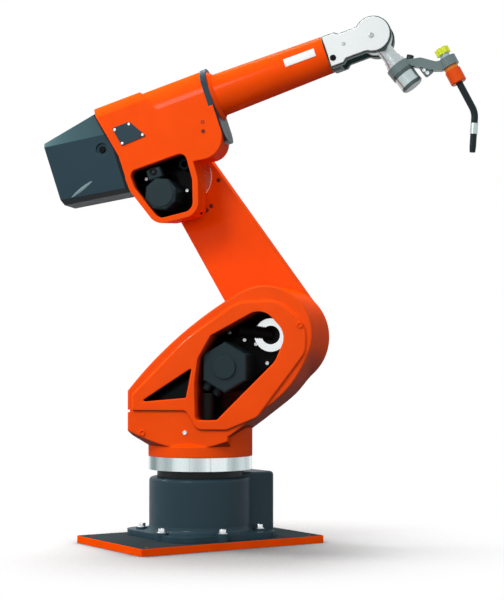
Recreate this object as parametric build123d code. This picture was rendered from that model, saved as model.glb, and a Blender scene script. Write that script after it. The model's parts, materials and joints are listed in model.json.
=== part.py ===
from build123d import *
from math import asin, atan2, cos, degrees, hypot, radians, sin, tan
import os

# Industrial welding robot on a ground plate. Millimetres, +Z up.
# The origin is on the vertical turning axis, at the underside of the plate; +X runs along the plate.
# Everything above the base is drawn in the arm's own plane (x forward, z up, y across, near side -y)
# and then swung about the vertical axis to the angle at which the robot stands.
# An outline is a list of corners (x, y, radius), measured from the axis that the piece turns on or carries.

# Axes of the arm
ARM_SWING = -45.0
AXIS2_FORWARD = 252.0
AXIS2_HEIGHT = 700.0
LINK_LENGTH = 643.0
LINK_LEAN = 30.7
FOREARM_RISE = 209.5
FOREARM_PITCH = 18.2
WRIST_REACH = 779.0
HAND_PITCH = -53.0
RUNNING_GAP = 0.3
SHARP = 0.5

# Ground plate
PLATE_LENGTH = 700.0
PLATE_WIDTH = 450.0
PLATE_THICKNESS = 25.0
PLATE_EDGE_CHAMFER = 2.0
ANCHOR_INSET = 35.0
ANCHOR_HOLE_RADIUS = 9.0

# Base casting
BASE_RADIUS = 173.0
BASE_HEIGHT = 199.0
BASE_FLANGE_SIDE = 400.0
BASE_FLANGE_CORNER = 70.0
BASE_FLANGE_HEIGHT = 20.0
BASE_EDGE_RADIUS = 12.0
BASE_BOX_REACH = 241.0
BASE_BOX_WIDTH = 200.0
BASE_BOX_RISE = 14.0
BASE_BOX_CORNER = 24.0
BASE_BOLT_RING = 200.0
BASE_BOLT_COUNT = 6
BASE_BOLT_START = 20.0
BASE_PAD_RADIUS = 21.0
BASE_PAD_RISE = 6.0
NECK_RADIUS = 146.0
NECK_HEIGHT = 26.0

# Turning ring and column casting
RING_RADIUS = 175.0
RING_HEIGHT = 45.0
FOOT_RADIUS = 176.0
FOOT_HEIGHT = 95.0
FOOT_LEDGE = 9.0
FLARE_START = 36.0
FLARE_ANGLE = 59.0
COLUMN_NEAR = -165.0
COLUMN_FAR = 90.0
COLUMN_REAR = -209.0
COLUMN_REAR_HEIGHT = 220.0
COLUMN_BULGE = 24.0
COLUMN_FRONT_CURVE = ((71, -187), (15, -236), (-120, -337))
COLUMN_RIM = 14.0
COLUMN_EDGE_RADIUS = 6.0
HEAD_RADIUS = 160.0
HEAD_REAR_ANGLE = 119.0
HEAD_FRONT_ANGLE = -22.0
HEAD_FAR_RADIUS = 168.0
HEAD_FAR_FORWARD = 8.0
HEAD_FAR_DROP = 5.0
HEAD_FAR_FRONT_ANGLE = -48.0
FACE_RISE = 10.0
FACE_EDGE_CHAMFER = 4.0
FACE_REAR_MARGIN = 19.0
FACE_FOOT_HEIGHT = 153.0
FACE_REAR_HEIGHT = 209.0
FACE_REAR_CORNER = 8.0
FACE_CORNERS = ((-262, -16, 380), (-87, 106, 110), (48, 112, 100), (143, 35, 100), (140, -60, 60),
                (-20, -272, 40), (-122, -314, 40), (-222, -314, 30), (-260, -252, 16))
GROOVE_HEIGHT = 8.0
GROOVE_DEPTH = 9.0
WINDOW_FLOOR = -281.0
WINDOW_CORNERS = ((-228, WINDOW_FLOOR, 14), (-155, WINDOW_FLOOR, 12), (40, -88, 60), (78, 0, 60),
                  (-2, 90, 60), (-176, -3, 8), (-220, -80, 40), (-231, -160, 60))
CORNER_WINDOW = ((-416, -222, 4), (-238, -108, 4), (-258, -208, 4))
CORNER_WINDOW_DEPTH = 110.0
POCKET_BACK = 60.0

# Drive of the second axis, seen through the column's window
MOTOR2_BACK = 135.0
MOTOR2_DOWN = 108.0
MOTOR2_ACROSS = 146.0
MOTOR2_NEAR = -146.0
MOTOR2_EDGE_CHAMFER = 5.0
MOTOR2_CAP_RADIUS = 37.0
MOTOR2_CAP_HEIGHT = 8.0
GEAR_CASE_RADIUS = 70.0
GEAR_CASE_NEAR = 0.0
GEAR_RING_OUTER = 56.0
GEAR_RING_INNER = 31.0
GEAR_RING_DEPTH = 45.0
GEAR_PLUG_DEPTH = 30.0
MOTOR1_RADIUS = 20.0
MOTOR1_BACK = 194.0
MOTOR1_ACROSS = -130.0
MOTOR1_HEIGHT = 88.0

# Gear flanges between castings
FLANGE2_RADIUS = 130.0
FLANGE3_RADIUS = 92.0

# Link arm
LINK_NEAR = 95.0
LINK_FAR = 175.0
LINK_LOWER_RADIUS = 160.0
LINK_UPPER_RADIUS = 105.0
LINK_REAR_LOWER = 107.0
LINK_REAR_UPPER = 94.0
LINK_THROAT_RADIUS = 40.0
LINK_EDGE_RADIUS = 7.0
CAP_HEIGHT = 8.0
CAP_EDGE_CHAMFER = 2.0
LOWER_CAP_RADIUS = 112.0
UPPER_CAP_RADIUS = 74.0

# Arm housing, drawn from the foot of the forearm's axis: x along the forearm, y above it
HOUSING_HALF = 90.0
BARREL_RADIUS = 97.0
BARREL_FLAT = 0.93
BARREL_FRONT = 185.0
HOOD_RADIUS = 105.0
HOOD_FRONT_HIGH = -41.0
HOOD_FRONT_LOW = 29.0
HOOD_FOOT = -20.0
HOUSING_REAR_HIGH = -208.0
HOUSING_REAR_LOW = -162.0
HOUSING_WAIST = -98.0
HOUSING_WAIST_RADIUS = 20.0
TRUNK_FRONT = 200.0
TRUNK_STEP = -44.0
TRUNK_FOOT = -224.0
TRUNK_FRONT_RADIUS = 75.0
TRUNK_THROAT = 84.0
TRUNK_THROAT_DROP = -203.0
TRUNK_THROAT_RADIUS = 10.0
HOUSING_DRAFT = 5.0
LOBE_WALL = 19.0
POCKET3_BACK = 50.0
POCKET3_CORNERS = ((-146, 49, 22), (60, 48, 26), (56, -50, 60),
                   (26, -149, 34), (-96, -138, 36), (-143, -10, 40))

# Drive of the third axis, seen through the housing's window
MOTOR3_BACK = 66.0
MOTOR3_DOWN = 58.0
MOTOR3_RADIUS = 57.0
MOTOR3_NEAR = -82.0
MOTOR3_EDGE_CHAMFER = 5.0
MOTOR3_CAP_RADIUS = 44.0
MOTOR3_CAP_HEIGHT = 4.0

# Front plate that carries the forearm's bearing, and the small plate on the housing's near side
FRONT_PLATE_DEPTH = 19.0
FRONT_PLATE_RADIUS = 100.0
FRONT_PLATE_HALF = 76.0
FRONT_PLATE_DROP = -166.0
FRONT_PLATE_CORNER = 50.0
SIDE_PLATE_CORNERS = ((-154, 0, 3), (-90, 1, 3), (-50, -65, 3), (-140, -69, 3))
SIDE_PLATE_THICKNESS = 3.0

# Rear cover: a shell that runs from the housing's rounded rear to a smaller square end
COVER_BACK = -405.0
COVER_FRONT = -140.0
COVER_FRONT_SECTION = ((88, -16), (50, 91), (-50, 91), (-88, -16),
                       (-88, -214), (-60, -226), (60, -226), (88, -214))
COVER_BACK_SECTION = ((86, 22), (70, 38), (-70, 38), (-86, 22),
                      (-86, -170), (-56, -186), (56, -186), (86, -170))
COVER_POCKET_RADIUS = 22.0
COVER_POCKET_DEPTH = 10.0
COVER_POCKET_ALONG = -212.0
COVER_POCKET_UP = -55.0

# Forearm
ROOT_FLANGE_RADIUS = 88.0
ROOT_FLANGE_NECK = 76.0
ROOT_FLANGE_LENGTH = 12.0
TUBE_ROOT_RADIUS = 73.0
TUBE_END_RADIUS = 64.0
FORK_LENGTH = 168.0
LABEL_LENGTH = 108.0
LABEL_HEIGHT = 28.0
LABEL_BACK = 86.0
LABEL_UP = 8.0
LABEL_THICKNESS = 1.5

# Wrist fork, drawn from the wrist pivot: x along the forearm
CHEEK_RADIUS = 61.0
CHEEK_INNER = 32.0
CHEEK_OUTER = 52.0
CHEEK_NECK_RADIUS = 24.0
CHEEK_CORNER = 7.0
CHEEK_WAIST_TOP = 42.0
CHEEK_WAIST_BOTTOM = -49.0
CHEEK_SHOULDER_TOP = 51.5
CHEEK_SHOULDER_BOTTOM = -59.5
CHEEK_SHOULDER_LENGTH = 46.0
CHEEK_SHOULDER_RUN = 12.0
CHEEK_ROOT_LENGTH = 36.0
COLLAR_LENGTH = 30.0
COVER_PLATE_THICKNESS = 7.0
COVER_PLATE_EDGE = 1.5
COVER_PLATE_MARGIN = 4.0
FAR_BOSS_RADIUS = 58.0
FAR_BOSS_HEIGHT = 28.0

# Hand, measured along its own axis from the wrist pivot
HAND_BARREL_RADIUS = 57.0
HAND_BARREL_CHAMFER = 4.0
HAND_RADIUS = 26.0
HAND_END = 112.0
HAND_COLLAR_RADIUS = 30.0
HAND_COLLAR_LENGTH = 16.0

# Tool, measured along the hand's axis from the end of the tool flange, and up from that axis
TOOL_FLANGE_RADIUS = 34.0
TOOL_FLANGE_LENGTH = 13.0
HUB_RADIUS = 41.0
HUB_THICKNESS = 28.0
SENSOR_RADIUS = 38.0
SENSOR_LENGTH = 61.0
SENSOR_RING_RADIUS = 41.0
SENSOR_RING_LENGTH = 12.0
SENSOR_EDGE_CHAMFER = 5.0
BRACKET_WIDTH = 40.0
BRACKET_CORNERS = ((7, 20, 3), (7, 36, 16), (30, 76, 22), (74, 108, 22), (86, 136, 14), (89, 160, 3),
                   (114, 158, 3), (117, 142, 10), (106, 103, 20), (82, 74, 20), (53, 55, 8), (27, 30, 3))
BRACKET_KNOB_AT = (13.0, 39.5)
BRACKET_KNOB_RADIUS = 12.0
BRACKET_KNOB_LENGTH = 21.0
BRACKET_KNOB_TURN = 130.0

# Torch, in line from its knob down through the bracket's clamp and the holder
HOLDER_AT = (114.0, 135.0)
HOLDER_TURN = -10.0
CLAMP_RADIUS = 31.0
CLAMP_HEIGHT = 32.0
HOLDER_RADIUS = 27.0
HOLDER_LENGTH = 62.0
HOLDER_EDGE_CHAMFER = 3.0
HOLDER_RING_RADIUS = 24.0
HOLDER_RING_HEIGHT = 12.0
KNOB_BASE_RADIUS = 17.0
KNOB_BASE_HEIGHT = 14.0
KNOB_RADIUS = 24.0
KNOB_HEIGHT = 23.0
KNOB_LOBES = 6
KNOB_LOBE_RADIUS = 7.0
SWAN_RADIUS = 11.5
SWAN_RUN = 112.0
SWAN_TURN = -31.0
SWAN_DROP = 36.0
SWAN_BEND_RADIUS = 70.0
SLEEVE_RADIUS = 13.0
SLEEVE_LENGTH = 36.0
NOZZLE_RADIUS = 11.0
NOZZLE_TIP_RADIUS = 9.5
NOZZLE_BORE_RADIUS = 7.0
NOZZLE_BORE_DEPTH = 8.0
NOZZLE_LENGTH = 60.0
NOZZLE_TAPER_LENGTH = 20.0


def turned(solid):
    """A piece of the arm, swung about the vertical axis to where the robot stands."""
    return Rot(0, 0, ARM_SWING) * solid


def point_at(origin, pitch, along, up):
    """A point in the arm's plane, from its distance along a pitch direction and above it."""
    angle = radians(pitch)
    x = origin[0] + along * cos(angle) - up * sin(angle)
    z = origin[1] + along * sin(angle) + up * cos(angle)
    return (x, z)


def side_plane(at, pitch, y):
    """A plane facing the near side, its own x along the pitch direction and its own y above that."""
    angle = radians(pitch)
    return Plane(origin=(at[0], y, at[1]), x_dir=(cos(angle), 0, sin(angle)), z_dir=(0, -1, 0))


def slab(sketch, near, far, at=(0, 0), pitch=0, draft=0):
    """A side view drawn at a point and pitch, from near to far across the arm, where a draft narrows it."""
    return extrude(side_plane(at, pitch, near) * sketch, amount=far - near, dir=(0, 1, 0), taper=draft)


def axis_plane(at, pitch, distance):
    """A plane across an axis in the arm's plane: its own x points up, its own y to the near side."""
    angle = radians(pitch)
    x, z = point_at(at, pitch, distance, 0)
    return Plane(origin=(x, 0, z), x_dir=(-sin(angle), 0, cos(angle)), z_dir=(cos(angle), 0, sin(angle)))


def rod(at, pitch, start, end, radius):
    """A round bar along an axis in the arm's plane, from one distance to another."""
    return extrude(axis_plane(at, pitch, start) * Circle(radius), amount=end - start)


def rounded_outline(corners, at=(0, 0)):
    """A closed outline of straight runs with tangent arcs, moved by a point. Corners are (x, y, radius)."""
    points = [(x + at[0], y + at[1]) for x, y, radius in corners]
    radii = [radius for x, y, radius in corners]
    return make_face(FilletPolyline(*points, radius=radii, close=True))


def upright(base, radius, height):
    """An upright round body that stands at the given height on the vertical axis."""
    return Pos(0, 0, base) * Cylinder(radius, height, align=(Align.CENTER, Align.CENTER, Align.MIN))


AXIS2 = (AXIS2_FORWARD, AXIS2_HEIGHT)
AXIS3 = point_at(AXIS2, 90 + LINK_LEAN, LINK_LENGTH, 0)
FOREARM_FOOT = point_at(AXIS3, FOREARM_PITCH, 0, FOREARM_RISE)
AXIS5 = point_at(FOREARM_FOOT, FOREARM_PITCH, WRIST_REACH, 0)
BASE_TOP = PLATE_THICKNESS + BASE_HEIGHT
NECK_TOP = BASE_TOP + NECK_HEIGHT
RING_TOP = NECK_TOP + RING_HEIGHT
COLUMN_FACE = COLUMN_NEAR - FACE_RISE
BEARING_BACK = BARREL_FRONT + FRONT_PLATE_DEPTH
TUBE_START = BEARING_BACK + ROOT_FLANGE_LENGTH
TUBE_END = WRIST_REACH - FORK_LENGTH
TOOL_START = HAND_END + TOOL_FLANGE_LENGTH
TOOL_FOOT = point_at(AXIS5, HAND_PITCH, TOOL_START, 0)
HOLDER_TOP = point_at(TOOL_FOOT, HAND_PITCH, HOLDER_AT[0], HOLDER_AT[1])
HOLDER_PITCH = HAND_PITCH + HOLDER_TURN


# Ground plate
def make_ground_plate():
    plate = Pos(0, 0, PLATE_THICKNESS / 2) * Box(PLATE_LENGTH, PLATE_WIDTH, PLATE_THICKNESS)
    plate = chamfer(plate.edges().group_by(Axis.Z)[-1], PLATE_EDGE_CHAMFER)
    holes = GridLocations(PLATE_LENGTH - 2 * ANCHOR_INSET, PLATE_WIDTH - 2 * ANCHOR_INSET, 2, 2)
    drill = Cylinder(ANCHOR_HOLE_RADIUS, PLATE_THICKNESS * 3)
    return plate - [hole * drill for hole in holes]


# Base casting: a drum on a square flange, with a box at the rear for the cables
def make_base_casting():
    ground = Plane.XY.offset(PLATE_THICKNESS)
    flange = extrude(ground * RectangleRounded(BASE_FLANGE_SIDE, BASE_FLANGE_SIDE, BASE_FLANGE_CORNER),
                     amount=BASE_FLANGE_HEIGHT)
    drum = extrude(ground * Circle(BASE_RADIUS), amount=BASE_HEIGHT)
    drum = fillet(drum.edges().group_by(Axis.Z)[-1], BASE_EDGE_RADIUS)
    box = extrude(ground * Pos(BASE_BOX_REACH / 2, 0) * Rectangle(BASE_BOX_REACH, BASE_BOX_WIDTH),
                  amount=BASE_HEIGHT + BASE_BOX_RISE)
    box = fillet(box.edges().filter_by(Axis.Z).group_by(Axis.X)[-1], BASE_BOX_CORNER)
    box = fillet(box.edges().group_by(Axis.Z)[-1], BASE_EDGE_RADIUS)
    body = flange + drum + box
    pad = extrude(ground * Circle(BASE_PAD_RADIUS), amount=BASE_FLANGE_HEIGHT + BASE_PAD_RISE)
    return body + [spot * pad for spot in PolarLocations(BASE_BOLT_RING, BASE_BOLT_COUNT, BASE_BOLT_START)]


def make_base_neck():
    return upright(BASE_TOP, NECK_RADIUS, NECK_HEIGHT - RUNNING_GAP) - make_base_casting()


# Turning ring
def make_bearing_ring():
    return upright(NECK_TOP, RING_RADIUS, RING_HEIGHT)


# Column casting
def column_side(centre, radius, front_angle):
    """A side view: a bulged rear edge that runs onto the round head, and a curved raked front edge."""
    rear_foot = (COLUMN_REAR, RING_TOP)
    rear_top = (COLUMN_REAR, RING_TOP + COLUMN_REAR_HEIGHT)
    head_rear = point_at(centre, HEAD_REAR_ANGLE, radius, 0)
    head_crown = point_at(centre, (HEAD_REAR_ANGLE + front_angle) / 2, radius, 0)
    head_front = point_at(centre, front_angle, radius, 0)
    front = [head_front] + [(AXIS2[0] + x, AXIS2[1] + z) for x, z in COLUMN_FRONT_CURVE]
    leave = radians(front_angle - 90)
    run = hypot(head_rear[0] - rear_top[0], head_rear[1] - rear_top[1])
    rise = degrees(atan2(head_rear[1] - rear_top[1], head_rear[0] - rear_top[0]))
    crown = point_at(rear_top, rise, run / 2, COLUMN_BULGE)
    rear_edge = ThreePointArc(rear_top, crown, head_rear)
    head = ThreePointArc(head_rear, head_crown, head_front)
    front_edge = Spline(*front, tangents=[(cos(leave), sin(leave)), (-1, -0.7)])
    return make_face(rear_edge + head + front_edge + Polyline(front[-1], (front[-1][0], RING_TOP), rear_foot,
                                                              rear_top))


def column_body():
    """A straight rim with a rounded edge, then a body whose head grows forward to the far side."""
    near = column_side(AXIS2, HEAD_RADIUS, HEAD_FRONT_ANGLE)
    far_head = (AXIS2[0] + HEAD_FAR_FORWARD, AXIS2[1] - HEAD_FAR_DROP)
    far = column_side(far_head, HEAD_FAR_RADIUS, HEAD_FAR_FRONT_ANGLE)
    rim = slab(near, COLUMN_NEAR, COLUMN_NEAR + COLUMN_RIM)
    rim = fillet(rim.edges().group_by(Axis.Y)[0], COLUMN_EDGE_RADIUS)
    rim_plane = side_plane((0, 0), 0, COLUMN_NEAR + COLUMN_RIM)
    return rim + loft([rim_plane * near, side_plane((0, 0), 0, COLUMN_FAR) * far], ruled=True)


def flare_envelope():
    """Upright round envelope: a plain foot that opens into a wide flare under the overhanging casting."""
    reach = 3 * FOOT_RADIUS
    flare_base = RING_TOP + FLARE_START
    flare_rim = flare_base + reach / tan(radians(FLARE_ANGLE))
    top = flare_rim + AXIS2_HEIGHT + HEAD_RADIUS
    profile = Polyline((0, RING_TOP), (FOOT_RADIUS, RING_TOP), (FOOT_RADIUS, flare_base),
                       (FOOT_RADIUS + reach, flare_rim), (FOOT_RADIUS + reach, top), (0, top), close=True)
    return revolve(Plane.XZ * make_face(profile), Axis.Z)


def face_outline():
    """The raised part of the near side, round the window."""
    rear = COLUMN_REAR + FACE_REAR_MARGIN
    low = (rear - AXIS2[0], RING_TOP + FACE_FOOT_HEIGHT - AXIS2[1], FACE_REAR_CORNER)
    high = (rear - AXIS2[0], RING_TOP + FACE_REAR_HEIGHT - AXIS2[1], FACE_REAR_CORNER)
    return rounded_outline((low, high) + FACE_CORNERS, AXIS2)


def window_space():
    """The pocket that opens through the near side onto the second axis's drive."""
    return slab(rounded_outline(WINDOW_CORNERS, AXIS2), COLUMN_FACE, POCKET_BACK)


def column_foot():
    """The round foot, with a bevelled ledge under the near side; behind that side it stands taller."""
    ledge_base = RING_TOP + FLARE_START
    ledge = Pos(0, 0, ledge_base + FOOT_LEDGE / 2) * Cone(FOOT_RADIUS, -COLUMN_NEAR, FOOT_LEDGE)
    room = slab(Rectangle(4 * AXIS2_HEIGHT, 4 * AXIS2_HEIGHT), COLUMN_NEAR, FOOT_RADIUS)
    tall = upright(RING_TOP, FOOT_RADIUS, FOOT_HEIGHT) & room
    return upright(RING_TOP, FOOT_RADIUS, FLARE_START) + ledge + tall


def make_column_casting():
    body = column_body() & flare_envelope()
    face = slab(face_outline(), COLUMN_FACE, COLUMN_NEAR + COLUMN_EDGE_RADIUS)
    face = chamfer(face.edges().group_by(Axis.Y)[0], FACE_EDGE_CHAMFER)
    corner = slab(rounded_outline(CORNER_WINDOW, AXIS2), COLUMN_FACE, COLUMN_FACE + CORNER_WINDOW_DEPTH)
    groove_at = Pos(COLUMN_REAR - 2 * GROOVE_DEPTH, RING_TOP + FACE_FOOT_HEIGHT)
    groove = slab(groove_at * Rectangle(6 * GROOVE_DEPTH, GROOVE_HEIGHT), COLUMN_FACE, COLUMN_FAR)
    return body + column_foot() + face - window_space() - corner - groove


# Drive of the second axis
def motor2_point():
    return (AXIS2[0] - MOTOR2_BACK, AXIS2[1] - MOTOR2_DOWN)


def make_axis2_gear_case():
    case = Pos(*motor2_point()) * Circle(GEAR_CASE_RADIUS) + Pos(*AXIS2) * Circle(GEAR_CASE_RADIUS)
    inner = offset(rounded_outline(WINDOW_CORNERS, AXIS2), amount=-RUNNING_GAP)
    return slab(make_hull(case.edges()) & inner, GEAR_CASE_NEAR, POCKET_BACK)


def make_axis2_motor():
    at = Pos(*motor2_point())
    body = slab(at * RegularPolygon(MOTOR2_ACROSS / 2, 6, major_radius=False, rotation=30), MOTOR2_NEAR,
                GEAR_CASE_NEAR)
    body = chamfer(body.edges().group_by(Axis.Y)[0], MOTOR2_EDGE_CHAMFER)
    return body + slab(at * Circle(MOTOR2_CAP_RADIUS), MOTOR2_NEAR - MOTOR2_CAP_HEIGHT, MOTOR2_NEAR)


def make_axis2_gear_ring():
    ring = Circle(GEAR_RING_OUTER) - Circle(GEAR_RING_INNER)
    return slab(Pos(*AXIS2) * ring, GEAR_CASE_NEAR - GEAR_RING_DEPTH, GEAR_CASE_NEAR)


def make_axis2_gear_plug():
    return slab(Pos(*AXIS2) * Circle(GEAR_RING_INNER - RUNNING_GAP), GEAR_CASE_NEAR - GEAR_PLUG_DEPTH,
                GEAR_CASE_NEAR)


def make_axis1_motor():
    floor_height = AXIS2[1] + WINDOW_FLOOR
    return Pos(AXIS2[0] - MOTOR1_BACK, MOTOR1_ACROSS) * upright(floor_height, MOTOR1_RADIUS, MOTOR1_HEIGHT)


def make_axis2_flange():
    return slab(Pos(*AXIS2) * Circle(FLANGE2_RADIUS), COLUMN_FAR, LINK_NEAR - RUNNING_GAP)


# Link arm
def link_outline():
    """Drawn from the second axis, x towards the third: tangent along the front, narrower along the rear."""
    slope = degrees(asin((LINK_LOWER_RADIUS - LINK_UPPER_RADIUS) / LINK_LENGTH))
    lean = radians(slope)
    lower = Circle(LINK_LOWER_RADIUS)
    upper = Pos(LINK_LENGTH, 0) * Circle(LINK_UPPER_RADIUS)
    web = Polygon((LINK_LOWER_RADIUS * sin(lean), -LINK_LOWER_RADIUS * cos(lean)),
                  (LINK_LENGTH + LINK_UPPER_RADIUS * sin(lean), -LINK_UPPER_RADIUS * cos(lean)),
                  (LINK_LENGTH, LINK_REAR_UPPER), (0, LINK_REAR_LOWER), align=None)
    return lower + upper + web


def make_link_arm():
    outline = link_outline()
    throat = outline.vertices().filter_by(lambda v: v.Y > LINK_REAR_UPPER).sort_by(Axis.X)[0]
    arm = slab(fillet(throat, LINK_THROAT_RADIUS), LINK_NEAR, LINK_FAR, AXIS2, 90 + LINK_LEAN)
    arm = fillet(arm.edges().group_by(Axis.Y)[0], LINK_EDGE_RADIUS)
    return chamfer(arm.edges().group_by(Axis.Y)[-1], LINK_EDGE_RADIUS)


def make_link_cap(at, radius):
    cap = slab(Pos(*at) * Circle(radius), LINK_FAR, LINK_FAR + CAP_HEIGHT)
    return chamfer(cap.edges().group_by(Axis.Y)[-1], CAP_EDGE_CHAMFER)


# Arm housing
def housing_slab(sketch, near, far, draft=0):
    return slab(sketch, near, far, FOREARM_FOOT, FOREARM_PITCH, draft)


def housing_rear(up):
    """How far back the housing's slanted rear edge lies, at a height above the forearm's axis."""
    share = (up - HOUSING_WAIST) / (HOOD_RADIUS - HOUSING_WAIST)
    return HOUSING_REAR_LOW + share * (HOUSING_REAR_HIGH - HOUSING_REAR_LOW)


def trunk_outline():
    """The housing under the forearm's axis, down to the third axis, with its rounded front foot."""
    front = ((BARREL_FRONT, 0, SHARP), (BARREL_FRONT, TRUNK_STEP, SHARP), (TRUNK_FRONT, TRUNK_STEP, SHARP),
             (TRUNK_FRONT, TRUNK_FOOT, TRUNK_FRONT_RADIUS),
             (TRUNK_THROAT, TRUNK_THROAT_DROP, TRUNK_THROAT_RADIUS))
    rear = ((0, -FOREARM_RISE, SHARP), (HOUSING_REAR_LOW, -FOREARM_RISE, SHARP),
            (HOUSING_REAR_LOW, HOUSING_WAIST, HOUSING_WAIST_RADIUS), (housing_rear(0), 0, SHARP))
    return rounded_outline(front + rear)


def window3_outline():
    """The window on the third axis's drive."""
    return Pos(0, -FOREARM_RISE) * rounded_outline(POCKET3_CORNERS)


def round_length(section, side_outline):
    """A bar of a round section about the forearm's axis, cut to an outline and to the housing's width."""
    bar = extrude(axis_plane(FOREARM_FOOT, FOREARM_PITCH, HOUSING_REAR_HIGH) * section,
                  amount=BARREL_FRONT - HOUSING_REAR_HIGH)
    return bar & housing_slab(side_outline, -HOUSING_HALF, HOUSING_HALF)


def housing_body():
    """The housing before its window is cut: barrel, hood, trunk and the lobe that walls the window."""
    crest = (housing_rear(HOOD_RADIUS), HOOD_RADIUS)
    barrel_side = Polygon(crest, (BARREL_FRONT, HOOD_RADIUS), (BARREL_FRONT, HOUSING_WAIST),
                          (HOUSING_REAR_LOW, HOUSING_WAIST), align=None)
    hood_side = Polygon(crest, (HOOD_FRONT_HIGH, HOOD_RADIUS), (HOOD_FRONT_LOW, HOOD_FOOT),
                        (housing_rear(HOOD_FOOT), HOOD_FOOT), align=None)
    barrel = round_length(Ellipse(BARREL_RADIUS, BARREL_RADIUS * BARREL_FLAT), barrel_side)
    hood = round_length(Circle(HOOD_RADIUS), hood_side)
    trunk = housing_slab(trunk_outline(), -HOUSING_HALF, HOUSING_HALF, HOUSING_DRAFT)
    lobe = housing_slab(offset(window3_outline(), amount=LOBE_WALL), -HOUSING_HALF, HOUSING_HALF,
                        HOUSING_DRAFT)
    return barrel + hood + trunk + lobe


def make_arm_housing():
    window = housing_slab(window3_outline(), -HOUSING_HALF, POCKET3_BACK)
    return housing_body() - window - make_forearm_bearing()


def make_rear_cover():
    front = axis_plane(FOREARM_FOOT, FOREARM_PITCH, COVER_FRONT) * cover_section(COVER_FRONT_SECTION)
    back = axis_plane(FOREARM_FOOT, FOREARM_PITCH, COVER_BACK) * cover_section(COVER_BACK_SECTION)
    shell = loft([back, front], ruled=True) - housing_body()
    recess = Pos(COVER_POCKET_ALONG, COVER_POCKET_UP) * Circle(COVER_POCKET_RADIUS)
    near = housing_slab(recess, -2 * HOUSING_HALF, COVER_POCKET_DEPTH - HOUSING_HALF)
    far = housing_slab(recess, HOUSING_HALF - COVER_POCKET_DEPTH, 2 * HOUSING_HALF)
    return shell - near - far


def cover_section(corners):
    """A section of the rear cover. Its corners give the distance across, then the height."""
    return Polygon(*[(up, across) for across, up in corners], align=None)


# Drive of the third axis
def motor3_place():
    return Pos(-MOTOR3_BACK, -FOREARM_RISE - MOTOR3_DOWN)


def make_axis3_motor():
    at = motor3_place()
    body = housing_slab(at * RegularPolygon(MOTOR3_RADIUS, 8), MOTOR3_NEAR, POCKET3_BACK)
    body = chamfer(body.edges().group_by(Axis.Y)[0], MOTOR3_EDGE_CHAMFER)
    return body + housing_slab(at * Circle(MOTOR3_CAP_RADIUS), MOTOR3_NEAR - MOTOR3_CAP_HEIGHT, MOTOR3_NEAR)


def make_axis3_flange():
    return slab(Pos(*AXIS3) * Circle(FLANGE3_RADIUS), HOUSING_HALF, LINK_NEAR - RUNNING_GAP)


# Front plate round the forearm's bearing
def make_forearm_bearing():
    start = axis_plane(FOREARM_FOOT, FOREARM_PITCH, BARREL_FRONT)
    lower = rounded_outline(((0, -FRONT_PLATE_HALF, 1), (0, FRONT_PLATE_HALF, 1),
                             (FRONT_PLATE_DROP, FRONT_PLATE_HALF, FRONT_PLATE_CORNER),
                             (FRONT_PLATE_DROP, -FRONT_PLATE_HALF, FRONT_PLATE_CORNER)))
    plate = extrude(start * (Circle(FRONT_PLATE_RADIUS) + lower), amount=FRONT_PLATE_DEPTH)
    return plate & housing_slab(Rectangle(4 * BARREL_FRONT, 4 * BARREL_FRONT), -HOUSING_HALF, HOUSING_HALF)


def make_housing_plate():
    outer_face = -HOUSING_HALF - SIDE_PLATE_THICKNESS
    return housing_slab(rounded_outline(SIDE_PLATE_CORNERS), outer_face, -HOUSING_HALF)


# Forearm
def tube_skin(growth):
    """The forearm's tapered tube, grown outwards by the given amount."""
    root = axis_plane(FOREARM_FOOT, FOREARM_PITCH, TUBE_START) * Circle(TUBE_ROOT_RADIUS + growth)
    end = axis_plane(FOREARM_FOOT, FOREARM_PITCH, TUBE_END) * Circle(TUBE_END_RADIUS + growth)
    return loft([root, end])


def make_forearm_tube():
    start = BEARING_BACK + RUNNING_GAP
    flange = loft([axis_plane(FOREARM_FOOT, FOREARM_PITCH, start) * Circle(ROOT_FLANGE_RADIUS),
                   axis_plane(FOREARM_FOOT, FOREARM_PITCH, TUBE_START) * Circle(ROOT_FLANGE_NECK)])
    return tube_skin(0) + flange


def make_label_plate():
    patch = housing_slab(Pos(TUBE_END - LABEL_BACK, LABEL_UP) * Rectangle(LABEL_LENGTH, LABEL_HEIGHT),
                         -2 * TUBE_ROOT_RADIUS, 0)
    return (tube_skin(LABEL_THICKNESS) & patch) - tube_skin(0)


# Wrist fork
def cheek_outline():
    """Drawn from the wrist pivot, x along the forearm: a shoulder, a waist and a round end."""
    root = COVER_PLATE_EDGE - FORK_LENGTH
    shoulder = root + CHEEK_SHOULDER_LENGTH
    waist = shoulder + CHEEK_SHOULDER_RUN
    upper = ((root, CHEEK_SHOULDER_TOP, CHEEK_CORNER), (shoulder, CHEEK_SHOULDER_TOP, CHEEK_CORNER),
             (waist, CHEEK_WAIST_TOP, CHEEK_CORNER), (0, CHEEK_WAIST_TOP, SHARP))
    lower = ((0, CHEEK_WAIST_BOTTOM, SHARP), (waist, CHEEK_WAIST_BOTTOM, CHEEK_CORNER),
             (shoulder, CHEEK_SHOULDER_BOTTOM, CHEEK_CORNER), (root, CHEEK_SHOULDER_BOTTOM, CHEEK_CORNER))
    bar = rounded_outline(upper + lower)
    outline = bar + Circle(CHEEK_RADIUS)
    necks = outline.vertices().sort_by_distance((-CHEEK_WAIST_TOP, CHEEK_WAIST_TOP))[:1]
    necks = necks + outline.vertices().sort_by_distance((CHEEK_WAIST_BOTTOM, CHEEK_WAIST_BOTTOM))[:1]
    return fillet(necks, CHEEK_NECK_RADIUS)


def wrist_slab(sketch, near, far):
    return slab(sketch, near, far, AXIS5, FOREARM_PITCH)


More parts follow.
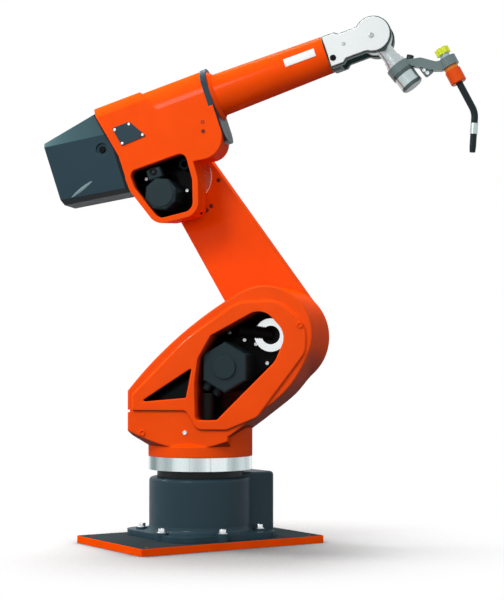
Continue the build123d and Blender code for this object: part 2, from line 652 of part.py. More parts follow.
def make_wrist_fork():
    gap_start = CHEEK_ROOT_LENGTH - FORK_LENGTH
    gap_end = 2 * CHEEK_RADIUS
    gap = Pos((gap_start + gap_end) / 2, 0) * Rectangle(gap_end - gap_start, 4 * CHEEK_RADIUS)
    fork = wrist_slab(cheek_outline(), -CHEEK_OUTER, CHEEK_OUTER) - wrist_slab(gap, -CHEEK_INNER, CHEEK_INNER)
    collar = rod(AXIS5, FOREARM_PITCH, -FORK_LENGTH, COLLAR_LENGTH - FORK_LENGTH, TUBE_END_RADIUS)
    flats = wrist_slab(Rectangle(4 * FORK_LENGTH, 4 * CHEEK_RADIUS), -CHEEK_OUTER, CHEEK_OUTER)
    return fork + (collar & flats)


def make_wrist_cover(near, outer_face):
    outline = offset(cheek_outline(), amount=-COVER_PLATE_MARGIN)
    plate = wrist_slab(outline, near, near + COVER_PLATE_THICKNESS)
    return chamfer(plate.edges().group_by(Axis.Y)[outer_face], COVER_PLATE_EDGE)


def make_far_wrist_cover():
    """The far cover carries a round boss over the end of the wrist's gear."""
    start = CHEEK_OUTER + COVER_PLATE_THICKNESS
    boss = wrist_slab(Circle(FAR_BOSS_RADIUS), start, start + FAR_BOSS_HEIGHT)
    boss = chamfer(boss.edges().group_by(Axis.Y)[-1], HAND_BARREL_CHAMFER)
    return make_wrist_cover(CHEEK_OUTER, -1) + boss


# Hand
def make_hand():
    half = CHEEK_INNER - RUNNING_GAP
    barrel = slab(Pos(*AXIS5) * Circle(HAND_BARREL_RADIUS), -half, half)
    barrel = chamfer(barrel.edges().filter_by(GeomType.CIRCLE), HAND_BARREL_CHAMFER)
    tube = rod(AXIS5, HAND_PITCH, 0, HAND_END, HAND_RADIUS)
    collar = rod(AXIS5, HAND_PITCH, HAND_END - HAND_COLLAR_LENGTH, HAND_END, HAND_COLLAR_RADIUS)
    return barrel + tube + collar


# Tool flange, breakaway sensor and torch bracket
def make_tool_flange():
    return rod(AXIS5, HAND_PITCH, HAND_END + RUNNING_GAP, TOOL_START, TOOL_FLANGE_RADIUS)


def make_breakaway_sensor():
    end = HUB_THICKNESS + SENSOR_LENGTH
    body = rod(TOOL_FOOT, HAND_PITCH, HUB_THICKNESS, end, SENSOR_RADIUS)
    tip = axis_plane(TOOL_FOOT, HAND_PITCH, end)
    body = chamfer(body.faces().sort_by(Axis(tip.origin, tip.z_dir))[-1].edges(), SENSOR_EDGE_CHAMFER)
    ring_end = HUB_THICKNESS + SENSOR_RING_LENGTH
    return body + rod(TOOL_FOOT, HAND_PITCH, HUB_THICKNESS, ring_end, SENSOR_RING_RADIUS)


def make_torch_bracket():
    hub = rod(TOOL_FOOT, HAND_PITCH, 0, HUB_THICKNESS, HUB_RADIUS)
    bar = slab(rounded_outline(BRACKET_CORNERS), -BRACKET_WIDTH / 2, BRACKET_WIDTH / 2, TOOL_FOOT, HAND_PITCH)
    clamp = rod(HOLDER_TOP, HOLDER_PITCH, -CLAMP_HEIGHT, 0, CLAMP_RADIUS)
    torch_side = rod(HOLDER_TOP, HOLDER_PITCH, 0, HOLDER_LENGTH, 2 * CLAMP_RADIUS)
    return hub + (bar - torch_side) + clamp - make_breakaway_sensor()


def make_bracket_knob():
    foot = point_at(TOOL_FOOT, HAND_PITCH, BRACKET_KNOB_AT[0], BRACKET_KNOB_AT[1])
    knob = rod(foot, HAND_PITCH + BRACKET_KNOB_TURN, 0, BRACKET_KNOB_LENGTH, BRACKET_KNOB_RADIUS)
    return knob - make_torch_bracket()


# Torch
def make_torch_holder():
    body = rod(HOLDER_TOP, HOLDER_PITCH, HOLDER_RING_HEIGHT, HOLDER_LENGTH, HOLDER_RADIUS)
    return chamfer(body.edges().filter_by(GeomType.CIRCLE), HOLDER_EDGE_CHAMFER)


def make_torch_ring():
    return rod(HOLDER_TOP, HOLDER_PITCH, 0, HOLDER_RING_HEIGHT, HOLDER_RING_RADIUS)


def make_knob_base():
    return rod(HOLDER_TOP, HOLDER_PITCH, -CLAMP_HEIGHT - KNOB_BASE_HEIGHT, -CLAMP_HEIGHT, KNOB_BASE_RADIUS)


def make_yellow_knob():
    """A round knob with finger lobes round its rim."""
    foot = -CLAMP_HEIGHT - KNOB_BASE_HEIGHT
    outline = Circle(KNOB_RADIUS - KNOB_LOBE_RADIUS)
    outline = outline + PolarLocations(KNOB_RADIUS - KNOB_LOBE_RADIUS, KNOB_LOBES) * Circle(KNOB_LOBE_RADIUS)
    return extrude(axis_plane(HOLDER_TOP, HOLDER_PITCH, foot - KNOB_HEIGHT) * outline, amount=KNOB_HEIGHT)


def swan_points():
    """Where the swan neck leaves its holder, where its two runs meet, and where it ends."""
    start = point_at(HOLDER_TOP, HOLDER_PITCH, HOLDER_LENGTH, 0)
    bend = point_at(start, HOLDER_PITCH, SWAN_RUN, 0)
    end = point_at(bend, HOLDER_PITCH + SWAN_TURN, SWAN_DROP, 0)
    return start, bend, end


def make_torch_neck():
    route = [(x, 0, z) for x, z in swan_points()]
    path = FilletPolyline(*route, radius=SWAN_BEND_RADIUS)
    return sweep(Plane(origin=path @ 0, z_dir=path % 0) * Circle(SWAN_RADIUS), path=path)


def make_neck_sleeve():
    return rod(swan_points()[2], HOLDER_PITCH + SWAN_TURN, 0, SLEEVE_LENGTH, SLEEVE_RADIUS)


def make_gas_nozzle():
    """The nozzle tapers over its last third and is bored for the wire."""
    at = swan_points()[2]
    pitch = HOLDER_PITCH + SWAN_TURN
    tip = SLEEVE_LENGTH + NOZZLE_LENGTH
    taper_start = tip - NOZZLE_TAPER_LENGTH
    cone = loft([axis_plane(at, pitch, taper_start) * Circle(NOZZLE_RADIUS),
                 axis_plane(at, pitch, tip) * Circle(NOZZLE_TIP_RADIUS)])
    bore = rod(at, pitch, tip - NOZZLE_BORE_DEPTH, tip, NOZZLE_BORE_RADIUS)
    return rod(at, pitch, SLEEVE_LENGTH, taper_start, NOZZLE_RADIUS) + cone - bore


pieces = {
    "ground_plate": make_ground_plate(),
    "base_casting": make_base_casting(),
    "base_neck": make_base_neck(),
    "bearing_ring": make_bearing_ring(),
    "column_casting": make_column_casting(),
    "axis2_gear_case": make_axis2_gear_case(),
    "axis2_motor": make_axis2_motor(),
    "axis2_gear_ring": make_axis2_gear_ring(),
    "axis2_gear_plug": make_axis2_gear_plug(),
    "axis1_motor": make_axis1_motor(),
    "axis2_flange": make_axis2_flange(),
    "link_arm": make_link_arm(),
    "link_lower_cap": make_link_cap(AXIS2, LOWER_CAP_RADIUS),
    "link_upper_cap": make_link_cap(AXIS3, UPPER_CAP_RADIUS),
    "arm_housing": make_arm_housing(),
    "rear_cover": make_rear_cover(),
    "axis3_motor": make_axis3_motor(),
    "axis3_flange": make_axis3_flange(),
    "forearm_bearing": make_forearm_bearing(),
    "housing_plate": make_housing_plate(),
    "forearm_tube": make_forearm_tube(),
    "label_plate": make_label_plate(),
    "wrist_fork": make_wrist_fork(),
    "wrist_cover_near": make_wrist_cover(-CHEEK_OUTER - COVER_PLATE_THICKNESS, 0),
    "wrist_cover_far": make_far_wrist_cover(),
    "hand": make_hand(),
    "tool_flange": make_tool_flange(),
    "breakaway_sensor": make_breakaway_sensor(),
    "torch_bracket": make_torch_bracket(),
    "torch_holder": make_torch_holder(),
    "torch_ring": make_torch_ring(),
    "torch_neck": make_torch_neck(),
    "neck_sleeve": make_neck_sleeve(),
    "gas_nozzle": make_gas_nozzle(),
    "yellow_knob": make_yellow_knob(),
    "knob_base": make_knob_base(),
    "bracket_knob": make_bracket_knob(),
}

STANDING = ("ground_plate", "base_casting", "base_neck")

os.makedirs("parts", exist_ok=True)
for name, solid in pieces.items():
    placed = solid if name in STANDING else turned(solid)
    export_step(placed, f"parts/{name}.step")
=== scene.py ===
import json
from math import radians

import bmesh
import bpy
import numpy as np
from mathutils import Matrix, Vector


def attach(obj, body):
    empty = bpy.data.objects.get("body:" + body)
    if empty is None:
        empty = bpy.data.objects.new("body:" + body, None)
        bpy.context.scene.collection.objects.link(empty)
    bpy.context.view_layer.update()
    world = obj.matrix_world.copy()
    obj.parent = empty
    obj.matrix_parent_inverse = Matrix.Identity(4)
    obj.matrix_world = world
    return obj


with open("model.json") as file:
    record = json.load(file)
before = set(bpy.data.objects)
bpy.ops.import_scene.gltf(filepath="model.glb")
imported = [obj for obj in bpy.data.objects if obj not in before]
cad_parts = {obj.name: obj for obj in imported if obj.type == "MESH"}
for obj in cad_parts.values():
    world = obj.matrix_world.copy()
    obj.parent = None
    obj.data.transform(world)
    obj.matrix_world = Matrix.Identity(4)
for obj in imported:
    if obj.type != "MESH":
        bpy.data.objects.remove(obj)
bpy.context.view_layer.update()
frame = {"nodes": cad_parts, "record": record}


# Camera: a 90 mm lens at 0.6 m, turned 33 degrees off the plate's short side.
# It looks slightly upwards, as the photograph was taken.
CAMERA_PLACE = (-2.631, -4.372, 0.600)
CAMERA_TURN = -33.0
CAMERA_RISE = 2.48
LENS = 90.0
FILM_WIDTH = 36.0

camera_data = bpy.data.cameras.new("camera")
camera_data.lens = LENS
camera_data.sensor_width = FILM_WIDTH
camera = bpy.data.objects.new("camera", camera_data)
camera.location = CAMERA_PLACE
camera.rotation_euler = (radians(90.0 + CAMERA_RISE), 0.0, radians(CAMERA_TURN))
bpy.context.scene.collection.objects.link(camera)
bpy.context.scene.camera = camera
bpy.context.scene.view_settings.view_transform = "Standard"


# Studio: a white sweep, paper white to the camera and in reflections, with soft light that is
# strongest from the left. The floor is a round disc. It keeps the robot's shadow near the plate,
# deepened by painted shade from an occlusion node that darkens its colour, and turns to the sweep's
# white further out.
SKY_MIDDLE = 0.78
SKY_SPREAD = 0.62
SKY_FROM = (-0.95, -0.10, 0.15)
WHITE = (1.0, 1.0, 1.0, 1.0)
FLOOR_RADIUS = 9.0
FLOOR_SIDES = 96
FLOOR_WHITE = 0.68
FLOOR_BOUNCE = 0.10
SHADOW_DEPTH = 2.0
SHADOW_WIDTH = 1.0
SHADOW_SAMPLES = 8
SHADOW_REACH = (0.50, 1.25)


def shader_tree(material):
    """The material's node tree, emptied, with its output node."""
    material.use_nodes = True
    tree = material.node_tree
    tree.nodes.clear()
    return tree, tree.nodes.new("ShaderNodeOutputMaterial")


def feed(tree, socket, value):
    """Links a socket to another node's output, or sets it to a constant."""
    if isinstance(value, bpy.types.NodeSocket):
        tree.links.new(value, socket)
    else:
        socket.default_value = value


def calculate(tree, operation, *values):
    """A Math node's result on values that are numbers or other nodes' outputs."""
    node = tree.nodes.new("ShaderNodeMath")
    node.operation = operation
    for socket, value in zip(node.inputs, values):
        feed(tree, socket, value)
    return node.outputs[0]


def dot_product(tree, vector, direction):
    """How far a vector reaches along a direction: the sum of their parts' products."""
    node = tree.nodes.new("ShaderNodeVectorMath")
    node.operation = "DOT_PRODUCT"
    feed(tree, node.inputs[0], vector)
    feed(tree, node.inputs[1], direction)
    return node.outputs["Value"]


def ranged(tree, value, start, end, low=0.0, high=1.0, curve="LINEAR"):
    """Carries a value from one range to another. Its share of the way from start to end, held
    between 0 and 1, becomes the same share of the way from low to high."""
    node = tree.nodes.new("ShaderNodeMapRange")
    node.interpolation_type = curve
    for name, bound in (("From Min", start), ("From Max", end), ("To Min", low), ("To Max", high)):
        node.inputs[name].default_value = bound
    tree.links.new(value, node.inputs["Value"])
    return node.outputs["Result"]


def mixed(tree, share, first, second):
    """A mix of two shader nodes: the second by the share, and the first by the rest."""
    node = tree.nodes.new("ShaderNodeMixShader")
    for socket, value in zip(node.inputs, (share, first.outputs[0], second.outputs[0])):
        tree.links.new(value, socket)
    return node


def seen_directly(tree):
    """1 for a ray from the camera, a reflection or a transmission, and 0 for one that only
    carries light: the greatest of the three marks."""
    path = tree.nodes.new("ShaderNodeLightPath")
    seen = calculate(tree, "MAXIMUM", path.outputs["Is Camera Ray"], path.outputs["Is Glossy Ray"])
    return calculate(tree, "MAXIMUM", seen, path.outputs["Is Transmission Ray"])


world = bpy.data.worlds.new("studio")
bpy.context.scene.world = world
world.use_nodes = True
sky_tree = world.node_tree
sky_tree.nodes.clear()
sky_look = sky_tree.nodes.new("ShaderNodeTexCoord").outputs["Generated"]
sky_side = dot_product(sky_tree, sky_look, Vector(SKY_FROM).normalized())
fill = sky_tree.nodes.new("ShaderNodeBackground")
paper = sky_tree.nodes.new("ShaderNodeBackground")
for background in (fill, paper):
    background.inputs["Color"].default_value = WHITE
sky_level = calculate(sky_tree, "MULTIPLY_ADD", sky_side, SKY_SPREAD, SKY_MIDDLE)
sky_tree.links.new(sky_level, fill.inputs["Strength"])
sky = mixed(sky_tree, seen_directly(sky_tree), fill, paper)
sky_out = sky_tree.nodes.new("ShaderNodeOutputWorld")
sky_tree.links.new(sky.outputs[0], sky_out.inputs["Surface"])

floor_material = bpy.data.materials.new("studio_floor")
floor_tree, floor_out = shader_tree(floor_material)
# Painted shade: an occlusion node darkens the floor's colour near the robot, deepening its shadow.
floor_occlusion_shade = floor_tree.nodes.new("ShaderNodeAmbientOcclusion")
floor_occlusion_shade.samples = SHADOW_SAMPLES
floor_occlusion_shade.inputs["Distance"].default_value = SHADOW_WIDTH
floor_shade = calculate(floor_tree, "POWER", floor_occlusion_shade.outputs["AO"], SHADOW_DEPTH)
floor_near = floor_tree.nodes.new("ShaderNodeBsdfDiffuse")
floor_tree.links.new(calculate(floor_tree, "MULTIPLY", floor_shade, FLOOR_WHITE),
                     floor_near.inputs["Color"])
floor_far = floor_tree.nodes.new("ShaderNodeEmission")
floor_back = floor_tree.nodes.new("ShaderNodeBsdfDiffuse")
floor_back.inputs["Color"].default_value = (FLOOR_BOUNCE, FLOOR_BOUNCE, FLOOR_BOUNCE, 1.0)
floor_place = floor_tree.nodes.new("ShaderNodeTexCoord")
floor_distance = floor_tree.nodes.new("ShaderNodeVectorMath")
floor_distance.operation = "LENGTH"
floor_tree.links.new(floor_place.outputs["Object"], floor_distance.inputs[0])
floor_fade = ranged(floor_tree, floor_distance.outputs["Value"], *SHADOW_REACH, curve="SMOOTHSTEP")
floor_seen = mixed(floor_tree, floor_fade, floor_near, floor_far)
floor_look = mixed(floor_tree, seen_directly(floor_tree), floor_back, floor_seen)
floor_tree.links.new(floor_look.outputs[0], floor_out.inputs["Surface"])

floor_turn = np.linspace(0.0, 2.0 * np.pi, FLOOR_SIDES, endpoint=False)
floor_rim = FLOOR_RADIUS * np.stack([np.cos(floor_turn), np.sin(floor_turn), 0.0 * floor_turn],
                                    axis=1)
floor_mesh = bpy.data.meshes.new("studio_floor")
floor_mesh.from_pydata(floor_rim.tolist(), [], [tuple(range(FLOOR_SIDES))])
floor_mesh.materials.append(floor_material)
floor = bpy.data.objects.new("studio_floor", floor_mesh)
bpy.context.scene.collection.objects.link(floor)


def soft_light(name, place, aim, size, power):
    """A square area lamp at a place, turned so that it shines at a point."""
    data = bpy.data.lights.new(name, "AREA")
    data.shape = "SQUARE"
    data.size = size
    data.energy = power
    lamp = bpy.data.objects.new(name, data)
    lamp.location = place
    lamp.rotation_euler = (Vector(aim) - Vector(place)).to_track_quat("-Z", "Y").to_euler()
    bpy.context.scene.collection.objects.link(lamp)


soft_light("key_light", place=(-3.0, -1.3, 2.9), aim=(0.0, 0.0, 0.9), size=1.0, power=44.0)
soft_light("edge_light", place=(-1.87, 2.65, 3.55), aim=(0.0, 0.0, 0.9), size=1.0, power=82.0)
soft_light("back_light", place=(0.85, 1.30, 3.9), aim=(0.0, 0.0, 0.6), size=1.5, power=105.0)


# Ground plate: 25 mm steel, sprayed orange all over, its top then rolled with slate floor paint.
# The paint that every sprayed piece uses starts here: a mottled colour, an orange-peel skin, and
# softened edges lightened partly as wear and partly as a painted highlight.
SLATE = (0.036, 0.048, 0.052)
ORANGE = (0.92, 0.074, 0.0005)
PLATE_TOP = 0.0235
PLATE_TOP_BLEND = 0.0005
NOISE_SPREAD = (0.3, 0.7)
MOTTLE_SCALE = 9.0
GLOSS_SCALE = 25.0
GLOSS_SPREAD = 0.12
SKIN_DEPTH = 0.001
COAT_ROUGHNESS = 0.16
COAT_IOR = 2.5
EDGE_SAMPLES = 6
EDGE_FULLY_LIGHTENED = 0.75
MIX_BELOW, MIX_ABOVE, MIX_RESULT = 6, 7, 2


def value_noise(tree, scale, detail, low, high, stretch=(1.0, 1.0, 1.0)):
    """Noise on Object coordinates, carried from its usual spread to the range from low to high."""
    place = tree.nodes.new("ShaderNodeTexCoord")
    lay = tree.nodes.new("ShaderNodeMapping")
    lay.inputs["Scale"].default_value = stretch
    noise = tree.nodes.new("ShaderNodeTexNoise")
    noise.inputs["Scale"].default_value = scale
    noise.inputs["Detail"].default_value = detail
    tree.links.new(place.outputs["Object"], lay.inputs["Vector"])
    tree.links.new(lay.outputs["Vector"], noise.inputs["Vector"])
    return ranged(tree, noise.outputs["Fac"], *NOISE_SPREAD, low, high)


def paint(name, colour, roughness, specular=0.3, rounding=0.003, mottle=0.05, grain=900.0,
          lift=0.04, metal=0.0, coat=0.0, wear_and_highlight=0.25):
    """A sprayed or cast finish. The colour is multiplied by a slow noise, and near an edge by up to
    one plus wear_and_highlight: partly wear, where the paint is thin, and partly a painted
    highlight along the rims. A fast noise lifts the skin."""
    material = bpy.data.materials.new(name)
    tree, out = shader_tree(material)
    shader = tree.nodes.new("ShaderNodeBsdfPrincipled")
    for socket, value in (("Metallic", metal), ("Specular IOR Level", specular),
                          ("Coat Weight", coat), ("Coat Roughness", COAT_ROUGHNESS),
                          ("Coat IOR", COAT_IOR)):
        shader.inputs[socket].default_value = value
    # Edges are lightened partly as wear and partly as a painted highlight.
    edge = tree.nodes.new("ShaderNodeBevel")
    edge.samples = EDGE_SAMPLES
    edge.inputs["Radius"].default_value = rounding
    flat = tree.nodes.new("ShaderNodeNewGeometry")
    agreement = dot_product(tree, edge.outputs["Normal"], flat.outputs["Normal"])
    worn_and_highlit_edge = ranged(tree, agreement, 1.0, EDGE_FULLY_LIGHTENED, 1.0, 1.0 + wear_and_highlight)
    cloud = value_noise(tree, scale=MOTTLE_SCALE, detail=4.0, low=1.0 - mottle, high=1.0 + mottle)
    shade = tree.nodes.new("ShaderNodeVectorMath")
    shade.operation = "SCALE"
    shade.inputs[0].default_value = colour
    tree.links.new(calculate(tree, "MULTIPLY", cloud, worn_and_highlit_edge), shade.inputs["Scale"])
    tree.links.new(shade.outputs[0], shader.inputs["Base Color"])
    gloss = value_noise(tree, scale=GLOSS_SCALE, detail=3.0, low=roughness * (1.0 - GLOSS_SPREAD),
                        high=roughness * (1.0 + GLOSS_SPREAD))
    tree.links.new(gloss, shader.inputs["Roughness"])
    bump = tree.nodes.new("ShaderNodeBump")
    bump.inputs["Strength"].default_value = lift
    bump.inputs["Distance"].default_value = SKIN_DEPTH
    skin = value_noise(tree, scale=grain, detail=2.0, low=0.0, high=1.0)
    tree.links.new(skin, bump.inputs["Height"])
    tree.links.new(edge.outputs["Normal"], bump.inputs["Normal"])
    tree.links.new(bump.outputs["Normal"], shader.inputs["Normal"])
    tree.links.new(shader.outputs[0], out.inputs["Surface"])
    return material


def over(material, factor, colour):
    """Lays a second colour over a finish: the new one times the factor, the old by the rest."""
    tree = material.node_tree
    shader = tree.nodes["Principled BSDF"]
    mix = tree.nodes.new("ShaderNodeMix")
    mix.data_type = "RGBA"
    mix.inputs[MIX_ABOVE].default_value = (*colour, 1.0)
    tree.links.new(factor, mix.inputs[0])
    tree.links.new(shader.inputs["Base Color"].links[0].from_socket, mix.inputs[MIX_BELOW])
    tree.links.new(mix.outputs[MIX_RESULT], shader.inputs["Base Color"])


def ramp_along(tree, direction, start, end):
    """Rises from 0 to 1 between two distances from the origin along a direction."""
    place = tree.nodes.new("ShaderNodeTexCoord")
    return ranged(tree, dot_product(tree, place.outputs["Object"], direction), start, end)


def finish_nodes(material, *nodes):
    """Gives CAD pieces their finish."""
    for node in nodes:
        mesh = frame["nodes"][node].data
        mesh.materials.clear()
        mesh.materials.append(material)


plate_paint = paint("plate_paint", ORANGE, roughness=0.6, specular=0.0, mottle=0.08, grain=350.0,
                    lift=0.1, wear_and_highlight=0.1)
over(plate_paint, ramp_along(plate_paint.node_tree, (0.0, 0.0, 1.0), PLATE_TOP,
                             PLATE_TOP + PLATE_TOP_BLEND), SLATE)
finish_nodes(plate_paint, "ground_plate")


# Base: a grey iron casting in anthracite, bolted down through six pads with socket-head screws
# on washers. The screws are turned shapes with a hexagon socket, zinc plated.
# A size is a radius and a height. A profile's rows are shares of both, and 1 for a hexagonal row.
ANTHRACITE = (0.021, 0.046, 0.062)
UP = np.array((0.0, 0.0, 1.0))
PAD_COUNT = 6
PAD_TOP = 0.051
PAD_RING = 0.200
PAD_START = 20.0
BASE_SCREW_SIZE = (0.012, 0.011)
BASE_WASHER_SIZE = (0.017, 0.003)
SOCKET_HEAD = ((0.0, -0.04, 0), (1.0, -0.04, 0), (1.0, 0.84, 0), (0.92, 1.0, 0), (0.62, 1.0, 1),
               (0.60, 0.94, 1), (0.58, 0.45, 1), (0.0, 0.40, 1))
BUTTON_HEAD = ((0.0, -0.04, 0), (1.0, -0.04, 0), (0.98, 0.40, 0), (0.82, 0.80, 0), (0.55, 1.0, 0),
               (0.42, 1.0, 1), (0.40, 0.90, 1), (0.38, 0.35, 1), (0.0, 0.30, 1))
WASHER = ((0.6, -0.04, 0), (1.0, -0.04, 0), (1.0, 0.8, 0), (0.96, 1.0, 0), (0.6, 1.0, 0))
MERGE_DISTANCE = 1e-7
SHARP_ANGLE = 38.0
NEARLY_UPRIGHT = 0.9


def closed_mesh(name, points, quads, ends=()):
    """A mesh object from a grid of points, its quads and its end faces. Points that meet are
    merged, so that seams and poles close, and the faces are turned outwards."""
    mesh = bpy.data.meshes.new(name)
    faces = quads.tolist() + [end.tolist() for end in ends]
    mesh.from_pydata(points.reshape(-1, 3).tolist(), [], faces)
    work = bmesh.new()
    work.from_mesh(mesh)
    bmesh.ops.remove_doubles(work, verts=work.verts, dist=MERGE_DISTANCE)
    bmesh.ops.dissolve_degenerate(work, edges=work.edges, dist=MERGE_DISTANCE)
    bmesh.ops.recalc_face_normals(work, faces=work.faces)
    work.to_mesh(mesh)
    work.free()
    mesh.shade_smooth()
    mesh.set_sharp_from_angle(angle=radians(SHARP_ANGLE))
    piece = bpy.data.objects.new(name, mesh)
    bpy.context.scene.collection.objects.link(piece)
    return piece


def grid_quads(rows, sides, ring=False):
    """The quads between neighbouring rows of points, where each row goes round. In a ring the
    last row joins the first. A point's number is its row times the sides, plus its side."""
    row = np.arange(rows if ring else rows - 1)[:, None]
    side = np.arange(sides)[None, :]
    upper = (row + 1) % rows
    after = (side + 1) % sides
    return np.stack([row * sides + side, row * sides + after, upper * sides + after,
                     upper * sides + side], axis=-1).reshape(-1, 4)


def turned_piece(name, profile, size, places, axes, sides=36):
    """A turned shape at each place: a profile swept about an axis. A point is the place, plus its
    height along the axis, plus its radius along the two directions square to the axis, by the
    cosine and sine of the turn. A hexagonal row is drawn in to the hexagon's flats."""
    radius, height = size
    rows = np.array(profile, float)
    turn = np.linspace(0.0, 2.0 * np.pi, sides, endpoint=False)
    hexagon = np.cos(np.pi / 6) / np.cos(np.mod(turn, np.pi / 3) - np.pi / 6)
    reach = radius * rows[:, :1] * (1.0 + rows[:, 2:] * (hexagon - 1.0))
    axis = np.array(axes, float).reshape(-1, 3)
    axis = axis / np.linalg.norm(axis, axis=1, keepdims=True)
    upright = np.array([[0.0, 0.0, 1.0]])
    level = np.array([[1.0, 0.0, 0.0]])
    helper = np.where(np.abs(axis[:, 2:]) < NEARLY_UPRIGHT, upright, level)
    first = np.cross(helper, axis)
    first = first / np.linalg.norm(first, axis=1, keepdims=True)
    second = np.cross(axis, first)
    place = np.array(places, float).reshape(-1, 1, 1, 3)
    points = (place + height * rows[:, 1][None, :, None, None] * axis[:, None, None, :]
              + (reach * np.cos(turn))[None, :, :, None] * first[:, None, None, :]
              + (reach * np.sin(turn))[None, :, :, None] * second[:, None, None, :])
    copies, count = points.shape[:2]
    quads = grid_quads(count, sides, ring=rows[0, 0] > 0.0)
    starts = np.arange(copies) * count * sides
    return closed_mesh(name, points, (quads[None] + starts[:, None, None]).reshape(-1, 4))


def fit(piece, material, body):
    """Gives a new piece its finish and the body that it rides on."""
    piece.data.materials.append(material)
    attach(piece, body)


anthracite_paint = paint("anthracite_paint", ANTHRACITE, roughness=0.42, specular=0.06, coat=0.04,
                         wear_and_highlight=0.7, grain=500.0, lift=0.08)
finish_nodes(anthracite_paint, "base_casting")
zinc_plate = paint("zinc_plate", (0.72, 0.76, 0.78), roughness=0.24, metal=1.0, wear_and_highlight=0.1,
                   rounding=0.0006, lift=0.02)
pad_turn = np.radians(PAD_START + 360.0 / PAD_COUNT * np.arange(PAD_COUNT))
pad_places = np.stack([PAD_RING * np.cos(pad_turn), PAD_RING * np.sin(pad_turn),
                       np.full(PAD_COUNT, PAD_TOP)], axis=1)
fit(turned_piece("base_screws", SOCKET_HEAD, BASE_SCREW_SIZE,
                 pad_places + BASE_WASHER_SIZE[1] * UP, UP), zinc_plate, "base")
fit(turned_piece("base_washers", WASHER, BASE_WASHER_SIZE, pad_places, UP), zinc_plate,
    "base")


# Cove of the base: the fillet that the foundry leaves between the drum and its flange.
# It is swept round the drum as a quarter of a hollow circle, closed behind the castings' skins.
COVE_RADIUS = 0.020
COVE_SIDES = 144
COVE_STEPS = 9
COVE_BACK = -0.002
COVE_FOOT = -0.001
DRUM_RADIUS = 0.173
FLANGE_TOP = 0.045
hollow = np.linspace(0.0, 0.5 * np.pi, COVE_STEPS)
cove_front = np.stack([DRUM_RADIUS + COVE_RADIUS * (1.0 - np.sin(hollow)),
                       COVE_RADIUS * (1.0 - np.cos(hollow)), 0.0 * hollow], axis=1)
cove_back = ((DRUM_RADIUS + COVE_BACK, COVE_RADIUS, 0), (DRUM_RADIUS + COVE_BACK, COVE_FOOT, 0),
             (DRUM_RADIUS + COVE_RADIUS, COVE_FOOT, 0))
fit(turned_piece("base_cove", np.vstack([cove_front, cove_back]), (1.0, 1.0), FLANGE_TOP * UP, UP,
                 sides=COVE_SIDES), anthracite_paint, "base")


# Neck and bearing ring: a black seal under a ground steel ring whose skin is brushed upright. Dark
# streaks on Object coordinates, stretched along the height, carry the brushing and a painted
# reflection of the studio in broad upright bands.
BRUSHING_AND_REFLECTION_STRETCH = (1.0, 1.0, 0.02)
seal_black = paint("seal_black", (0.010, 0.013, 0.016), roughness=0.6, wear_and_highlight=0.0)
finish_nodes(seal_black, "base_neck")
ring_steel = paint("ring_steel", (0.78, 0.86, 0.87), roughness=0.27, metal=1.0, mottle=0.0,
                   wear_and_highlight=0.15, rounding=0.0015, grain=60.0, lift=0.02)
ring_tree = ring_steel.node_tree
painted_reflection_bands = value_noise(ring_tree, scale=13.0, detail=0.0, low=-0.5, high=1.1, stretch=BRUSHING_AND_REFLECTION_STRETCH)
brushing_and_reflection_streaks = value_noise(ring_tree, scale=90.0, detail=2.0, low=-0.5, high=0.3, stretch=BRUSHING_AND_REFLECTION_STRETCH)
# Painted reflection: broad dark bands, and fine streaks that are partly brushing and partly painted
# reflection.
over(ring_steel, painted_reflection_bands, (0.20, 0.27, 0.28))
over(ring_steel, brushing_and_reflection_streaks, (0.24, 0.30, 0.31))
finish_nodes(ring_steel, "bearing_ring")


# Column: one iron casting, sprayed orange. Its two windows' insides are painted dark as shade, with
# spots of dim red painted as orange walls in shade, and its downward faces are painted darker as
# shade. A screw and two painted plugs close its holes. A window's inside is found by its outline,
# whose corners are measured forward and up from the second axis.
joints = {joint["name"]: joint for joint in frame["record"]["behaviour"]["joints"]}
ACROSS = np.array(joints["axis2_shoulder"]["axis"])
FORWARD = np.cross(ACROSS, UP)
COLUMN_FACE = -0.175
COLUMN_NEAR = -0.165
MAIN_WINDOW = ((-0.228, -0.281), (-0.155, -0.281), (0.040, -0.088), (0.078, 0.0), (-0.002, 0.090),
               (-0.176, -0.003), (-0.220, -0.080), (-0.231, -0.160))
CORNER_WINDOW = ((-0.416, -0.222), (-0.238, -0.108), (-0.258, -0.208))
OUTLINE_BLEND = (0.0015, 0.0010)
BACK_BLEND = (0.002, 0.001)
PAINTED_CAVITY_SHADE = (0.0035, 0.0032, 0.0032)
PAINTED_RED_SHADE = (0.160, 0.012, 0.006)
PAINTED_UNDERSIDE_SHADE = (0.040, 0.034, 0.034)
COLUMN_SCREW_SIZE = (0.0075, 0.006)
COLUMN_SCREW_SPOT = (-0.263, COLUMN_NEAR, -0.322)
COLUMN_PLUG_SIZE = (0.011, 0.004)
COLUMN_PLUG_SPOTS = ((-0.409, COLUMN_NEAR, -0.324), (0.122, COLUMN_FACE, 0.029))


def middle_of(name):
    """A joint's place, moved across to the arm's middle plane."""
    place = np.array(joints[name]["pos_m"])
    return place - ACROSS * np.dot(place, ACROSS)


def beside(origin, along_axis, spots):
    """Places measured from an origin in the arm's plane. Each spot's three numbers go along the
    axis, across to the far side, and up, square to both."""
    return origin + np.array(spots) @ np.stack([along_axis, ACROSS, np.cross(along_axis, ACROSS)])


